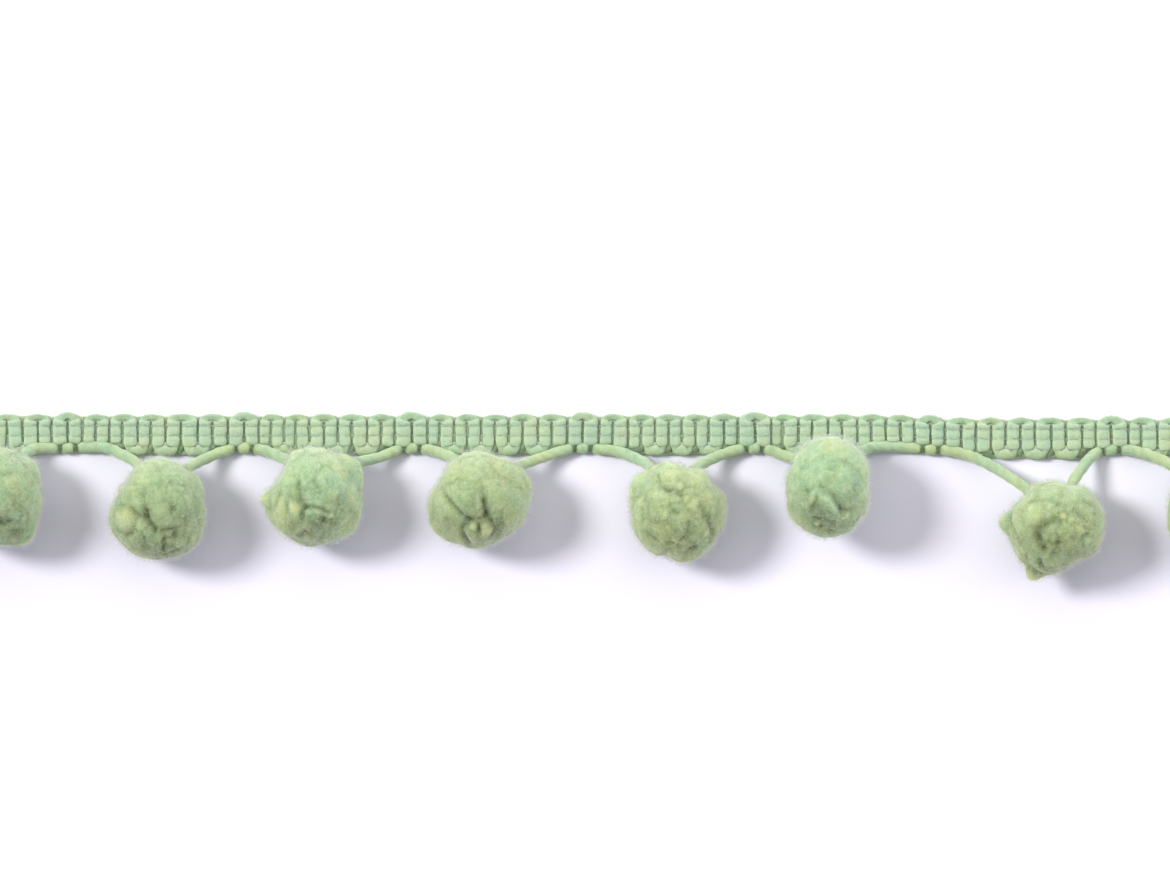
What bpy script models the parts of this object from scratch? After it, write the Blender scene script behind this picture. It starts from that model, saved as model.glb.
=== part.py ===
"""Pompom fringe trim: a woven gimp header, a carrier cord and eight tufted pompoms, lying flat.

The header runs along X with its flat back on Z = 0, and the pompoms lie beside it toward -Y.
Sizes are in millimetres and the meshes in metres. The origin is in the middle of the header's back.
"""

import math
import random
from collections import namedtuple

import bmesh
import bpy
from mathutils import Vector
from mathutils.geometry import interpolate_bezier

MM = 0.001

# Header: a strip of upright ribs, joined by loops at its two edges in turn.
HEADER_HALF_WIDTH = 2.6
ATTACH_X = (-90.1, -67.2, -44.3, -22.5, -0.3, 22.0, 44.9, 68.4, 91.8)
RIBS_PER_REPEAT = 12
END_RIBS = 2
RIB_FLANK = 0.22
SCALLOP = 0.28
ATTACH_BUMP = 0.3
ATTACH_BUMP_REACH = 1.5
# Each row runs the length of the strip, at y from its middle. A height is given for a rib, for a
# slit that ends under a top loop and for a slit that ends over a bottom loop. Scallop is the share
# of SCALLOP by which the row dips between two loops.
Row = namedtuple("Row", "y rib under_top over_bottom scallop")
HEADER_ROWS = (
    Row(2.60, 0.60, 0.60, 0.35, 1.0),
    Row(2.15, 1.30, 1.15, 0.50, 0.5),
    Row(1.30, 1.20, 0.55, 0.55, 0.0),
    Row(0.65, 1.50, 0.60, 0.60, 0.0),
    Row(0.00, 1.20, 0.55, 0.55, 0.0),
    Row(-0.95, 1.45, 0.60, 0.60, 0.0),
    Row(-2.15, 1.30, 0.50, 1.15, 0.5),
    Row(-2.60, 0.60, 0.35, 0.60, 1.0),
)
# Where the middle of the header lies: x, y.
HEADER_LINE = ((-96.0, 0.0), (38.0, 0.0), (48.0, -0.45), (98.0, -0.45))
# What the lower edge adds to the cord's gap, since it is faceted, and the height of the cord's
# centre from which it passes clear over the header.
EDGE_SLACK = 0.05
CORD_OVER = 3.0

# Carrier cord, and the gap that its neighbours keep to it.
CORD_RADIUS = 0.7
CORD_GAP = 0.3
CORD_STEP = 2.9
CORD_BEVEL_RESOLUTION = 2
ROUTE_STEPS = 12
# The cord's centre line, x, y, z. Each block runs from one attachment, down through a pompom, to the next.
CORD_ROUTE = (
    (-93.0, -1.7, 0.85), (-90.1, -1.7, 0.85),

    (-87.6, -1.8, 0.9), (-84.6, -2.1, 1.5), (-82.0, -3.2, 2.9), (-79.8, -4.9, 4.6), (-77.2, -6.2, 5.7),
    (-74.6, -4.9, 5.0), (-72.9, -2.6, 3.2), (-71.4, -1.8, 1.8), (-69.6, -1.7, 0.95), (-67.2, -1.7, 0.85),

    (-65.0, -1.6, 0.85), (-62.6, -1.6, 1.1), (-60.4, -2.4, 1.9), (-57.9, -3.9, 3.9), (-56.5, -6.1, 5.4),
    (-55.1, -7.4, 5.8), (-53.4, -6.3, 5.5), (-51.4, -4.2, 4.4), (-48.6, -2.8, 2.0), (-46.2, -1.9, 1.0),
    (-44.3, -1.7, 0.85),

    (-42.6, -1.8, 0.9), (-40.6, -2.4, 1.5), (-38.4, -3.5, 3.4), (-36.9, -5.2, 5.2), (-35.1, -6.1, 5.7),
    (-32.8, -5.2, 5.4), (-29.9, -3.7, 4.2), (-26.6, -2.9, 2.1), (-24.4, -2.0, 1.0), (-22.5, -1.7, 0.85),

    (-20.9, -1.8, 0.9), (-18.9, -2.3, 1.5), (-16.4, -3.4, 3.5), (-15.2, -5.1, 5.2), (-13.5, -6.2, 5.7),
    (-11.1, -5.4, 5.4), (-8.7, -4.1, 4.2), (-5.4, -2.9, 2.1), (-2.4, -1.9, 1.0), (-0.3, -1.7, 0.85),

    (1.6, -1.8, 0.85), (4.2, -2.1, 1.2), (6.5, -3.0, 2.5), (8.3, -4.0, 4.0), (9.7, -6.2, 5.4),
    (11.5, -7.6, 5.8), (13.0, -6.3, 5.5), (14.3, -4.4, 4.4), (16.6, -3.1, 2.4), (19.5, -2.0, 1.1),
    (22.0, -1.7, 0.85),

    (23.8, -1.9, 0.9), (25.7, -2.6, 1.4), (27.8, -3.3, 2.4), (29.2, -4.2, 4.2), (31.2, -5.0, 6.6),
    (33.4, -4.4, 6.0), (35.1, -2.9, 4.0), (36.6, -1.8, 2.2), (38.8, -1.5, 1.1), (42.0, -1.6, 0.85),
    (44.9, -1.9, 0.85),

    (46.8, -2.0, 0.85), (49.4, -2.5, 1.1), (52.4, -3.8, 2.2), (55.2, -5.5, 3.5), (57.6, -7.3, 4.6),
    (59.4, -9.2, 5.5), (60.8, -10.0, 5.9), (62.1, -8.9, 5.6), (63.1, -6.5, 4.6), (64.6, -4.2, 2.9),
    (66.4, -2.4, 1.2), (68.4, -1.95, 0.85),

    (70.2, -1.9, 0.9), (72.3, -2.3, 1.4), (74.6, -3.1, 2.6), (76.9, -4.4, 4.0), (79.3, -6.3, 5.3),
    (81.6, -7.5, 5.7), (83.7, -6.4, 5.4), (85.8, -4.5, 4.3), (88.2, -2.9, 2.1), (90.2, -2.1, 1.0),
    (91.8, -1.95, 0.85), (94.6, -1.95, 0.85),
)

# Pompoms: centre, half sizes, the turn of the locks about Z, and the yarn's tone (0 mint, 1 yellow-green).
Ball = namedtuple("Ball", "x y z half_x half_y half_z turn_deg tone")
POMPOMS = (
    Ball(-77.1, -8.0, 5.9, 6.5, 6.6, 6.3, 12.0, 0.3),
    Ball(-55.4, -9.7, 5.9, 6.2, 6.9, 6.3, 38.0, 0.4),
    Ball(-35.2, -8.0, 5.9, 6.2, 6.5, 6.2, 70.0, 0.3),
    Ball(-13.7, -8.5, 5.9, 6.7, 6.4, 6.3, 25.0, 0.5),
    Ball(12.0, -9.8, 5.9, 6.3, 6.6, 6.2, 54.0, 0.9),
    Ball(31.6, -6.7, 8.2, 5.6, 6.7, 5.9, 8.0, 0.2),
    Ball(61.2, -12.1, 6.0, 6.5, 6.5, 6.4, 81.0, 0.8),
    Ball(81.9, -9.8, 5.9, 6.4, 6.6, 6.3, 33.0, 0.5),
)
# Tufts that stand proud of a ball or, with a negative height, lie in it.
Tuft = namedtuple("Tuft", "ball azimuth_deg elevation_deg height half_angle_deg")
TUFTS = (
    Tuft(0, 300.0, 0.0, 0.4, 30.0),
    Tuft(1, 190.0, 10.0, 0.5, 28.0),
    Tuft(1, 130.0, 0.0, -0.9, 30.0),
    Tuft(2, 177.0, 5.0, 1.3, 22.0),
    Tuft(2, 135.0, 0.0, -0.9, 26.0),
    Tuft(2, 215.0, 0.0, -0.5, 24.0),
    Tuft(3, 259.0, 0.0, 0.4, 26.0),
    Tuft(3, 305.0, 0.0, -0.4, 26.0),
    Tuft(4, 17.0, 0.0, 0.3, 26.0),
    Tuft(4, 284.0, 0.0, 0.4, 26.0),
    Tuft(5, 220.0, 0.0, -0.4, 26.0),
    Tuft(6, 174.0, 0.0, 0.5, 22.0),
    Tuft(6, 248.0, 0.0, 0.9, 20.0),
    Tuft(6, 130.0, 0.0, -0.6, 26.0),
    Tuft(7, 200.0, 0.0, 0.4, 26.0),
)
# Locks: shares of the ball's reach at which the core, a lock's shoulder and its crown lie, and on a
# ball of radius 1 how far corners stray, half the gap between locks and the inset of a crown.
CORE_SHARE = 0.62
SHOULDER_SHARE = 0.92
CROWN_SHARE = 1.0
SPLIT = math.tan(math.radians(15.0))
STRAY = 0.075
HALF_LOCK_GAP = 0.045
CROWN_INSET = 0.13
LENGTH_SPREAD = 0.045
# No lock stands where the cord comes within PARTING of its axis. The others keep CORD_BERTH from it.
PARTING = 1.5
CORD_BERTH = 1.3

HEADER_COLOUR = (0.47, 0.67, 0.51)
CORD_COLOUR = (0.47, 0.64, 0.39)
MINT = Vector((0.42, 0.63, 0.38))
YELLOW_GREEN = Vector((0.50, 0.63, 0.27))
ROUGHNESS = 0.95


def clear_scene():
    for obj in list(bpy.data.objects):
        bpy.data.objects.remove(obj, do_unlink=True)


def yarn(name, colour):
    """A matt yarn."""
    material = bpy.data.materials.new(name)
    material.use_nodes = True
    shader = material.node_tree.nodes["Principled BSDF"]
    shader.inputs["Base Color"].default_value = (*colour, 1.0)
    shader.inputs["Roughness"].default_value = ROUGHNESS
    shader.inputs["Metallic"].default_value = 0.0
    return material


def add_object(name, data, material=None):
    """Links mesh or curve data to the scene as a named object."""
    obj = bpy.data.objects.new(name, data)
    bpy.context.scene.collection.objects.link(obj)
    if material:
        data.materials.append(material)
    return obj


def mesh_from(bm, name):
    """Hands a bmesh in millimetres over as a mesh in metres."""
    bmesh.ops.scale(bm, vec=(MM, MM, MM), verts=bm.verts)
    bmesh.ops.recalc_face_normals(bm, faces=bm.faces)
    mesh = bpy.data.meshes.new(name)
    bm.to_mesh(mesh)
    bm.free()
    return mesh


# The cord


def smooth_route():
    """Closely spaced points on a Catmull-Rom curve through the cord's route."""
    points = [Vector(p) for p in CORD_ROUTE]
    ends = [2 * points[0] - points[1]] + points + [2 * points[-1] - points[-2]]
    route = []
    for before, start, end, after in zip(ends, ends[1:], ends[2:], ends[3:]):
        handle_a = start + (end - before) / 6
        handle_b = end - (after - start) / 6
        route += interpolate_bezier(start, handle_a, handle_b, end, ROUTE_STEPS)[:-1]
    return route + [points[-1]]


def spaced(route, step):
    """The route with its points about a step apart."""
    length = sum((b - a).length for a, b in zip(route, route[1:]))
    count = round(length / step)
    picked = [route[0]]
    run = 0.0
    for a, b in zip(route, route[1:]):
        run += (b - a).length
        if run >= length * len(picked) / count and len(picked) < count:
            picked.append(b)
    return picked + [route[-1]]


def tube(name, points, radius):
    """A curve with a round bevel of one radius and filled caps."""
    curve = bpy.data.curves.new(name, "CURVE")
    curve.dimensions = "3D"
    curve.bevel_depth = radius * MM
    curve.bevel_resolution = CORD_BEVEL_RESOLUTION
    curve.use_fill_caps = True
    spline = curve.splines.new("POLY")
    spline.points.add(len(points) - 1)
    for target, point in zip(spline.points, points):
        target.co = (*(point * MM), 1.0)
    spline.use_smooth = True
    return curve


def build_tunnel(points):
    """The cutter that clears the cord's way through the pompoms."""
    guide = add_object("tunnel_guide", tube("tunnel_guide", points, CORD_RADIUS + CORD_GAP))
    bpy.context.view_layer.update()
    evaluated = guide.evaluated_get(bpy.context.evaluated_depsgraph_get())
    tunnel = add_object("tunnel", bpy.data.meshes.new_from_object(evaluated))
    bpy.data.objects.remove(guide)
    tunnel.hide_render = True
    tunnel.display_type = "WIRE"
    return tunnel


# The header


def line_y(x):
    """Where the middle of the header lies at x."""
    for (x0, y0), (x1, y1) in zip(HEADER_LINE, HEADER_LINE[1:]):
        if x <= x1:
            share = (x - x0) / (x1 - x0)
            return y0 + (y1 - y0) * share * share * (3 - 2 * share)
    return HEADER_LINE[-1][1]


def slit_places():
    """Where the slits between the ribs are, from one cut end to the other."""
    xs = [ATTACH_X[0]]
    for a, b in zip(ATTACH_X, ATTACH_X[1:]):
        xs += [a + (b - a) * (i + 1) / RIBS_PER_REPEAT for i in range(RIBS_PER_REPEAT)]
    pitch = xs[1] - xs[0]
    before = [xs[0] - pitch * (END_RIBS - i) for i in range(END_RIBS)]
    after = [xs[-1] + pitch * (i + 1) for i in range(END_RIBS)]
    return before + xs + after


def stations():
    """(x, kind) along the strip: each slit, ending under or over a loop, and two places on each rib."""
    xs = slit_places()
    places = []
    for i, (a, b) in enumerate(zip(xs, xs[1:])):
        places.append((a, "over_bottom" if i % 2 else "under_top"))
        places += [(a + (b - a) * share, "rib") for share in (RIB_FLANK, 1 - RIB_FLANK)]
    return places + [(xs[-1], "under_top")]


def lower_half_width(x, route):
    """The header's width below its middle at x, drawn in above the cord where the cord lies against it."""
    middle = line_y(x)
    edge = middle - HEADER_HALF_WIDTH
    berth = CORD_RADIUS + CORD_GAP + EDGE_SLACK
    for point in route:
        aside = abs(point.x - x)
        if aside < berth and point.z < CORD_OVER:
            edge = max(edge, point.y + math.sqrt(berth**2 - aside**2))
    return middle - edge


def header_section(x, kind, route):
    """The strip's outline at x: the rows of its face, and the two corners of its back."""
    middle = line_y(x)
    bump = max(0.0, 1 - min(abs(x - a) for a in ATTACH_X) / ATTACH_BUMP_REACH)
    narrowing = lower_half_width(x, route) / HEADER_HALF_WIDTH
    points = []
    for row in HEADER_ROWS:
        if row.y > 0:
            dip = SCALLOP if kind == "over_bottom" else 0.0
            y = row.y + (ATTACH_BUMP * bump - dip) * row.scallop
        else:
            dip = SCALLOP if kind == "under_top" else 0.0
            y = (row.y + dip * row.scallop) * narrowing
        points.append(Vector((x, middle + y, getattr(row, kind))))
    corners = [Vector((x, points[i].y, 0.0)) for i in (-1, 0)]
    return points + corners


def build_header(route):
    """One strip, lofted through its sections."""
    bm = bmesh.new()
    rings = [[bm.verts.new(p) for p in header_section(x, kind, route)] for x, kind in stations()]
    for near, far in zip(rings, rings[1:]):
        for i in range(len(near)):
            bm.faces.new((near[i - 1], near[i], far[i], far[i - 1]))
    for end in (rings[0], rings[-1]):
        bm.faces.new(end)
    return add_object("header", mesh_from(bm, "header"), yarn("Header yarn", HEADER_COLOUR))


# The pompoms


def box_sphere(turn_deg, chance):
    """An uneven ball of radius 1 and 32 faces: a cube cut twice across X, once across Y and Z, then rounded."""
    bm = bmesh.new()
    bmesh.ops.create_cube(bm, size=2.0)
    cuts = (((1, 0, 0), -SPLIT), ((1, 0, 0), SPLIT), ((0, 1, 0), 0.0), ((0, 0, 1), 0.0))
    for normal, offset in cuts:
        whole = bm.verts[:] + bm.edges[:] + bm.faces[:]
        bmesh.ops.bisect_plane(bm, geom=whole, plane_co=Vector(normal) * offset, plane_no=normal)
    for vert in bm.verts:
        stray = Vector([chance.uniform(-STRAY, STRAY) for _ in range(3)])
        vert.co = (vert.co.normalized() + stray).normalized()
    turn = Vector((math.cos(math.radians(turn_deg)), math.sin(math.radians(turn_deg)), 0))
    bmesh.ops.rotate(bm, verts=bm.verts, matrix=Vector((1, 0, 0)).rotation_difference(turn).to_matrix())
    return bm


def reach(number, direction):
    """How far a pompom's ball reaches from its centre in a direction."""
    ball = POMPOMS[number]
    halves = (ball.half_x, ball.half_y, ball.half_z)
    length = 1 / math.sqrt(sum((d / half) ** 2 for d, half in zip(direction, halves)))
    for tuft in TUFTS:
        if tuft.ball == number:
            azimuth, elevation = math.radians(tuft.azimuth_deg), math.radians(tuft.elevation_deg)
            level = math.cos(elevation)
            axis = Vector((level * math.cos(azimuth), level * math.sin(azimuth), math.sin(elevation)))
            share = max(0.0, 1 - math.degrees(direction.angle(axis)) / tuft.half_angle_deg)
            length += tuft.height * share * share * (3 - 2 * share)
    return length


def nearest(point, route):
    return min(route, key=lambda q: (q - point).length_squared)


def parted(number, direction, route):
    """Whether the cord runs through the place of a lock."""
    ball = POMPOMS[number]
    centre = Vector((ball.x, ball.y, ball.z))
    for share in (CORE_SHARE, (CORE_SHARE + CROWN_SHARE) / 2, CROWN_SHARE):
        point = centre + direction * reach(number, direction) * share
        if (nearest(point, route) - point).length < PARTING:
            return True
    return False


def place(verts, number, share, route):
    """Moves points from the ball of radius 1 to a share of the pompom's reach, clear of cord and floor."""
    ball = POMPOMS[number]
    centre = Vector((ball.x, ball.y, ball.z))
    for vert in verts:
        direction = vert.co.normalized()
        length = reach(number, direction) * share
        if direction.z < 0:
            length = min(length, centre.z / -direction.z)
        point = centre + direction * length
        if share > CORE_SHARE:
            close = nearest(point, route)
            if (point - close).length < CORD_BERTH:
                point = close + (point - close).normalized() * CORD_BERTH
        vert.co = point


def build_pompom(number, route, tunnel):
    """Locks of yarn, each drawn out of one face of the core, shorter where they rest on the floor."""
    ball = POMPOMS[number]
    chance = random.Random(number)
    bm = box_sphere(ball.turn_deg, chance)
    faces = bm.faces[:]
    bmesh.ops.inset_individual(bm, faces=faces, thickness=HALF_LOCK_GAP)
    core = bm.verts[:]
    rooted = [f for f in faces if not parted(number, f.calc_center_median().normalized(), route)]
    heads = bmesh.ops.extrude_discrete_faces(bm, faces=rooted)["faces"]
    shoulders = [f.verts[:] for f in heads]
    bmesh.ops.inset_individual(bm, faces=heads, thickness=CROWN_INSET)
    crowns = [f.verts[:] for f in heads]
    place(core, number, CORE_SHARE, route)
    for shoulder, crown in zip(shoulders, crowns):
        length = 1 + chance.uniform(-LENGTH_SPREAD, LENGTH_SPREAD)
        place(shoulder, number, SHOULDER_SHARE * length, route)
        place(crown, number, CROWN_SHARE * length, route)
    colour = MINT.lerp(YELLOW_GREEN, ball.tone)
    name = f"pompom_{number}"
    pompom = add_object(name, mesh_from(bm, name), yarn(f"Pompom yarn {number}", colour))
    cut = pompom.modifiers.new("cord way", "BOOLEAN")
    cut.operation = "DIFFERENCE"
    cut.solver = "EXACT"
    cut.object = tunnel
    return pompom


def build_trim():
    clear_scene()
    route = smooth_route()
    points = spaced(route, CORD_STEP)
    build_header(route)
    add_object("carrier_cord", tube("carrier_cord", points, CORD_RADIUS), yarn("Cord yarn", CORD_COLOUR))
    tunnel = build_tunnel(points)
    for number in range(len(POMPOMS)):
        build_pompom(number, route, tunnel)


build_trim()
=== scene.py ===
import math
from collections import namedtuple

import bmesh
import bpy
import numpy as np
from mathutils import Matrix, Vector, noise


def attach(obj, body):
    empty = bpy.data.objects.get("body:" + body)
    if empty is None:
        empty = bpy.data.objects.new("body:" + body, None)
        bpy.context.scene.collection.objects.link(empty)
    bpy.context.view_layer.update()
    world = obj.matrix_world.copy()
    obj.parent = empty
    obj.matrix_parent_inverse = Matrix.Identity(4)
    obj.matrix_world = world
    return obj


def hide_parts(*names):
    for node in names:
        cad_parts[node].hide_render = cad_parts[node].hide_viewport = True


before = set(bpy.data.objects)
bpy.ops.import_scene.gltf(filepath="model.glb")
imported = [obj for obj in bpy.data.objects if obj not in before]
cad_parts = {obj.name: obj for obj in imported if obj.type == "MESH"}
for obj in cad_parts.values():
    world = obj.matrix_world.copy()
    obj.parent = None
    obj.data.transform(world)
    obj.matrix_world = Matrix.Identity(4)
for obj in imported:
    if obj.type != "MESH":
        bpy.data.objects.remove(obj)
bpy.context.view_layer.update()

# Lengths are in millimetres until a mesh is made. X runs along the trim, the pompoms lie toward -Y.


# The carrier cord.
# Three soft spun plies laid up to a limp cord 1.4 mm thick, or 1.5 mm over the plies. It is caught in the
# header's lower edge between every two pompoms, hangs clear in a shallow dip and runs through the middle
# of each pompom.

MM = 0.001
# The least height over the table that roughened yarn and loose fibres keep.
CLEARANCE = 0.02
CORD_RADIUS = 0.75
CORD_PLIES = 3
CORD_PLY_SHARE = 0.07
CORD_SIDES = 15
CORD_LAY = 4.6
CORD_STEPS = 9
CORD_ROUTE = (
    (-93.0, -1.7, 0.85), (-90.1, -1.7, 0.85),

    (-87.6, -1.8, 0.9), (-84.6, -2.1, 1.5), (-82.0, -3.2, 2.9), (-79.8, -4.9, 4.6), (-77.2, -6.2, 5.7),
    (-74.6, -4.9, 5.0), (-72.9, -2.6, 3.2), (-71.4, -1.8, 1.8), (-69.6, -1.7, 0.95), (-67.2, -1.7, 0.85),

    (-65.0, -1.6, 0.85), (-62.6, -1.6, 1.1), (-60.4, -2.4, 1.9), (-57.9, -3.9, 3.9), (-56.5, -6.1, 5.4),
    (-55.1, -7.4, 5.8), (-53.4, -6.3, 5.5), (-51.4, -4.2, 4.4), (-48.6, -2.8, 2.0), (-46.2, -1.9, 1.0),
    (-44.3, -1.7, 0.85),

    (-42.6, -1.8, 0.9), (-40.6, -2.4, 1.5), (-38.4, -3.5, 3.4), (-36.9, -5.2, 5.2), (-35.1, -6.1, 5.7),
    (-32.8, -5.2, 5.4), (-29.9, -3.7, 4.2), (-26.6, -2.9, 2.1), (-24.4, -2.0, 1.0), (-22.5, -1.7, 0.85),

    (-20.9, -1.8, 0.9), (-18.9, -2.3, 1.5), (-16.4, -3.4, 3.5), (-15.2, -5.1, 5.2), (-13.5, -6.2, 5.7),
    (-11.1, -5.4, 5.4), (-8.7, -4.1, 4.2), (-5.4, -2.9, 2.1), (-2.4, -1.9, 1.0), (-0.3, -1.7, 0.85),

    (1.6, -1.8, 0.85), (4.2, -2.1, 1.2), (6.5, -3.0, 2.5), (8.3, -4.0, 4.0), (9.7, -6.2, 5.4),
    (11.5, -7.6, 5.8), (13.0, -6.3, 5.5), (14.3, -4.4, 4.4), (16.6, -3.1, 2.4), (19.5, -2.0, 1.1),
    (22.0, -1.7, 0.85),

    (23.8, -1.9, 0.9), (25.7, -2.6, 1.4), (27.8, -3.3, 2.4), (29.2, -4.2, 4.2), (31.2, -5.0, 6.6),
    (33.4, -4.4, 6.0), (35.1, -2.9, 4.0), (36.6, -1.8, 2.2), (38.8, -1.5, 1.1), (42.0, -1.6, 0.85),
    (44.9, -1.9, 0.85),

    (46.8, -2.0, 0.85), (49.4, -2.5, 1.1), (52.4, -3.8, 2.2), (55.2, -5.5, 3.5), (57.6, -7.3, 4.6),
    (59.4, -9.2, 5.5), (60.8, -10.0, 5.9), (62.1, -8.9, 5.6), (63.1, -6.5, 4.6), (64.6, -4.2, 2.9),
    (66.4, -2.4, 1.2), (68.4, -1.95, 0.85),

    (70.2, -1.9, 0.9), (72.3, -2.3, 1.4), (74.6, -3.1, 2.6), (76.9, -4.4, 4.0), (79.3, -6.3, 5.3),
    (81.6, -7.5, 5.7), (83.7, -6.4, 5.4), (85.8, -4.5, 4.3), (88.2, -2.9, 2.1), (90.2, -2.1, 1.0),
    (91.8, -1.95, 0.85), (94.6, -1.95, 0.85),
)
# Where the cord is caught, and the two places beside each at which thread draws it in.
ATTACH_X = (-90.1, -67.2, -44.3, -22.5, -0.3, 22.0, 44.9, 68.4, 91.8)
CINCH_ASIDE = 1.03
CINCH_REACH = 0.34
CINCH_DRAW = 0.55
CINCH_BELOW_Z = 1.2
# Painted shade on the cord where the thread draws it in.
CINCH_SHADE = 0.8
# A yarn's colours: the two ends of its dyed tones, the painted shade of its sunk places and its lit nap.
DyeAndShade = namedtuple("DyeAndShade", "mint yellow deep pale")
CORD_DYE_AND_SHADE = DyeAndShade("#9FBEA4", "#B3C294", "#4E6742", "#CBD9BC")
# A value that swings around its mean, from place to place, over a size in millimetres.
Sway = namedtuple("Sway", "mean swing size")
CORD_TONE = Sway(0.45, 0.5, 5.0)
CORD_DEPTH = Sway(0.04, -0.25, 0.8)
# How far patches of dye change the tone, and from which noise to which.
PATCH_TONE = 0.22
PATCH_NOISE = (0.3, 0.7)
# How much of the pale colour the nap shows, and from which noise to which.
NAP_PALENESS = 0.38
NAP_NOISE = (0.42, 0.72)
NAP_RELIEF = 0.8
# Yarn is matt, its hairs give a sheen, and red and green light goes deeper into it.
YARN_SURFACE = {
    "Roughness": 0.95,
    "Specular IOR Level": 0.15,
    "Sheen Weight": 0.8,
    "Sheen Roughness": 0.45,
    "Subsurface Weight": 1.0,
    "Subsurface Radius": (1.0, 1.0, 0.7),
}
# The sockets of a Mix node for colours, which share their names with others.
MIX_FACTOR, MIX_A, MIX_B, MIXED = 0, 6, 7, 2


def linear(colour):
    """An sRGB hex colour as linear red, green, blue and alpha."""
    shares = [int(colour[i:i + 2], 16) / 255 for i in (1, 3, 5)]
    return [s / 12.92 if s <= 0.04045 else ((s + 0.055) / 1.055) ** 2.4 for s in shares] + [1.0]


def add_node(tree, kind, settings, inputs):
    """Adds a node with its settings, and sets or links its inputs, each by its name or its number."""
    node = tree.nodes.new(kind)
    for name, value in settings.items():
        setattr(node, name, value)
    for name, value in inputs.items():
        if isinstance(value, bpy.types.NodeSocket):
            tree.links.new(value, node.inputs[name])
        else:
            node.inputs[name].default_value = value
    return node


def spun_yarn(name, dye_and_shade, patch_mm, nap_mm, nap_height_mm, glow_mm):
    """Dyed acrylic yarn, matt and softly hairy: its nap scatters light, so edges look pale and milky.

    The piece's own attributes give the tone, from mint to yellow-green, and how much painted shade each
    spot gets.
    The real nap is finer than 0.1 mm, and is drawn coarser so that it shows at the photo's distance.
    Light wanders through the fibres for about glow_mm before it leaves them.
    """
    material = bpy.data.materials.new(name)
    material.use_nodes = True
    tree = material.node_tree
    place = add_node(tree, "ShaderNodeTexCoord", {}, {}).outputs["Object"]
    tone = add_node(tree, "ShaderNodeAttribute", {"attribute_name": "tone"}, {}).outputs["Fac"]
    # Tone picks the dye. Depth is painted light and shade, with some random mottling: the higher it is, the
    # more of the painted-shade colour.
    depth = add_node(tree, "ShaderNodeAttribute", {"attribute_name": "depth"}, {}).outputs["Fac"]
    patches = add_node(tree, "ShaderNodeTexNoise", {}, {
        "Vector": place, "Scale": 1 / (patch_mm * MM), "Detail": 3.0, "Roughness": 0.6})
    nap = add_node(tree, "ShaderNodeTexNoise", {}, {
        "Vector": place, "Scale": 1 / (nap_mm * MM), "Detail": 2.0, "Roughness": 0.65})
    patchy = add_node(tree, "ShaderNodeMapRange", {}, {
        "Value": patches.outputs["Fac"], "From Min": PATCH_NOISE[0], "From Max": PATCH_NOISE[1],
        "To Min": -PATCH_TONE, "To Max": PATCH_TONE})
    toned = add_node(tree, "ShaderNodeMath", {"operation": "ADD", "use_clamp": True}, {
        0: tone, 1: patchy.outputs["Result"]})
    dyed = add_node(tree, "ShaderNodeMix", {"data_type": "RGBA"}, {
        MIX_FACTOR: toned.outputs["Value"], MIX_A: linear(dye_and_shade.mint), MIX_B: linear(dye_and_shade.yellow)})
    hairy = add_node(tree, "ShaderNodeMapRange", {}, {
        "Value": nap.outputs["Fac"], "From Min": NAP_NOISE[0], "From Max": NAP_NOISE[1],
        "To Min": 0.0, "To Max": NAP_PALENESS})
    lifted = add_node(tree, "ShaderNodeMix", {"data_type": "RGBA"}, {
        MIX_FACTOR: hairy.outputs["Result"], MIX_A: dyed.outputs[MIXED], MIX_B: linear(dye_and_shade.pale)})
    # Painted shade: the colour is mixed toward the painted-shade colour by depth.
    painted_shade_mix = add_node(tree, "ShaderNodeMix", {"data_type": "RGBA"}, {
        MIX_FACTOR: depth, MIX_A: lifted.outputs[MIXED], MIX_B: linear(dye_and_shade.deep)})
    relief = add_node(tree, "ShaderNodeBump", {}, {
        "Height": nap.outputs["Fac"], "Strength": NAP_RELIEF, "Distance": nap_height_mm * MM})
    shader = tree.nodes["Principled BSDF"]
    tree.links.new(painted_shade_mix.outputs[MIXED], shader.inputs["Base Color"])
    tree.links.new(relief.outputs["Normal"], shader.inputs["Normal"])
    for socket, value in YARN_SURFACE.items():
        shader.inputs[socket].default_value = value
    shader.inputs["Sheen Tint"].default_value = linear(dye_and_shade.pale)
    shader.inputs["Subsurface Scale"].default_value = glow_mm * MM
    return material


def flowing(keys, steps):
    """A smooth Catmull-Rom path through keys of place and thickness, in steps from each to the next."""
    keys = np.array(keys, float)
    ends = np.vstack((2 * keys[0] - keys[1], keys, 2 * keys[-1] - keys[-2]))
    t = np.linspace(0.0, 1.0, steps, endpoint=False)[:, None]
    spans = [
        b + 0.5 * t * (c - a + t * (2 * a - 5 * b + 4 * c - d + t * (3 * b - a - 3 * c + d)))
        for a, b, c, d in zip(ends, ends[1:], ends[2:], ends[3:])
    ]
    return np.vstack(spans + [keys[-1:]])


def cross_section(name, half_width, half_height, sides, squareness=2.0, lobes=1, lobe_share=0.0):
    """A yarn's closed outline, as a curve to sweep. A squareness of 2 is round, and lobes are plies."""
    curve = bpy.data.curves.new(name, "CURVE")
    spline = curve.splines.new("POLY")
    spline.points.add(sides - 1)
    spline.use_cyclic_u = True
    for i, point in enumerate(spline.points):
        angle = 2 * math.pi * i / sides
        c, s = math.cos(angle), math.sin(angle)
        size = (abs(c) ** squareness + abs(s) ** squareness) ** (-1 / squareness)
        size *= 1 - lobe_share * (0.5 - 0.5 * math.cos(lobes * angle))
        point.co = (c * size * half_width * MM, s * size * half_height * MM, 0.0, 1.0)
    outline = bpy.data.objects.new(name, curve)
    bpy.context.scene.collection.objects.link(outline)
    outline.hide_render = True
    return outline


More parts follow.
